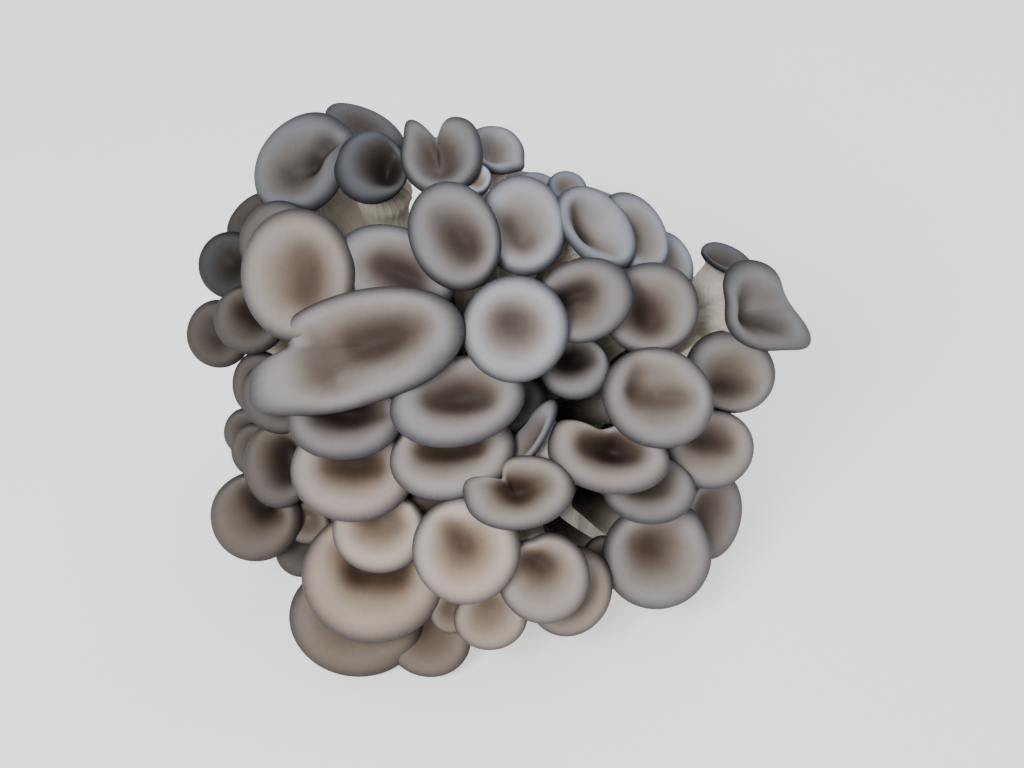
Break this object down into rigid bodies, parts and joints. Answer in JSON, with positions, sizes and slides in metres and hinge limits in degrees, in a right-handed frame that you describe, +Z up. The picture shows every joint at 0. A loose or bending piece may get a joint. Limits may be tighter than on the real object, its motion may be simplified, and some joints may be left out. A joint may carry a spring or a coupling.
{
  "type": "oyster mushroom cluster",
  "caption": "Cluster of grey oyster mushrooms: dished caps that overlap like shingles, on curved gilled stems that run together into one clump with a flat cut base.",
  "frame": {"origin": "middle of the clump's flat cut face, where it rests", "axes": "+Z up along the cluster's growth, -Y towards the viewer of the picture, +X to the viewer's right"},
  "size_m": [0.255, 0.2125, 0.1748],
  "materials": {
    "mushroom_flesh": "satin",
    "clump_flesh": "matte"
  },
  "bodies": {
    "root": {"clump": "clump_flesh", "mushroom_back_1": "mushroom_flesh", "mushroom_back_2": "mushroom_flesh", "mushroom_back_3": "mushroom_flesh", "mushroom_back_4": "mushroom_flesh", "mushroom_back_5": "mushroom_flesh", "mushroom_back_6": "mushroom_flesh", "mushroom_back_7": "mushroom_flesh", "mushroom_back_8": "mushroom_flesh", "mushroom_back_9": "mushroom_flesh", "mushroom_crown_1": "mushroom_flesh", "mushroom_crown_10": "mushroom_flesh", "mushroom_crown_2": "mushroom_flesh", "mushroom_crown_3": "mushroom_flesh", "mushroom_crown_4": "mushroom_flesh", "mushroom_crown_5": "mushroom_flesh", "mushroom_crown_6": "mushroom_flesh", "mushroom_crown_7": "mushroom_flesh", "mushroom_crown_8": "mushroom_flesh", "mushroom_crown_9": "mushroom_flesh", "mushroom_front_1": "mushroom_flesh", "mushroom_front_2": "mushroom_flesh", "mushroom_front_3": "mushroom_flesh", "mushroom_front_4": "mushroom_flesh", "mushroom_front_5": "mushroom_flesh", "mushroom_front_6": "mushroom_flesh", "mushroom_front_7": "mushroom_flesh", "mushroom_left_1": "mushroom_flesh", "mushroom_left_10": "mushroom_flesh", "mushroom_left_2": "mushroom_flesh", "mushroom_left_3": "mushroom_flesh", "mushroom_left_4": "mushroom_flesh", "mushroom_left_5": "mushroom_flesh", "mushroom_left_6": "mushroom_flesh", "mushroom_left_7": "mushroom_flesh", "mushroom_left_8": "mushroom_flesh", "mushroom_left_9": "mushroom_flesh", "mushroom_middle_1": "mushroom_flesh", "mushroom_middle_10": "mushroom_flesh", "mushroom_middle_11": "mushroom_flesh", "mushroom_middle_2": "mushroom_flesh", "mushroom_middle_3": "mushroom_flesh", "mushroom_middle_4": "mushroom_flesh", "mushroom_middle_5": "mushroom_flesh", "mushroom_middle_6": "mushroom_flesh", "mushroom_middle_7": "mushroom_flesh", "mushroom_middle_8": "mushroom_flesh", "mushroom_middle_9": "mushroom_flesh", "mushroom_right_1": "mushroom_flesh", "mushroom_right_2": "mushroom_flesh", "mushroom_right_3": "mushroom_flesh", "mushroom_right_4": "mushroom_flesh", "mushroom_right_5": "mushroom_flesh", "mushroom_right_6": "mushroom_flesh", "mushroom_skirt_1": "mushroom_flesh", "mushroom_skirt_2": "mushroom_flesh", "mushroom_skirt_3": "mushroom_flesh", "mushroom_skirt_4": "mushroom_flesh"}
  },
  "joints": []
}
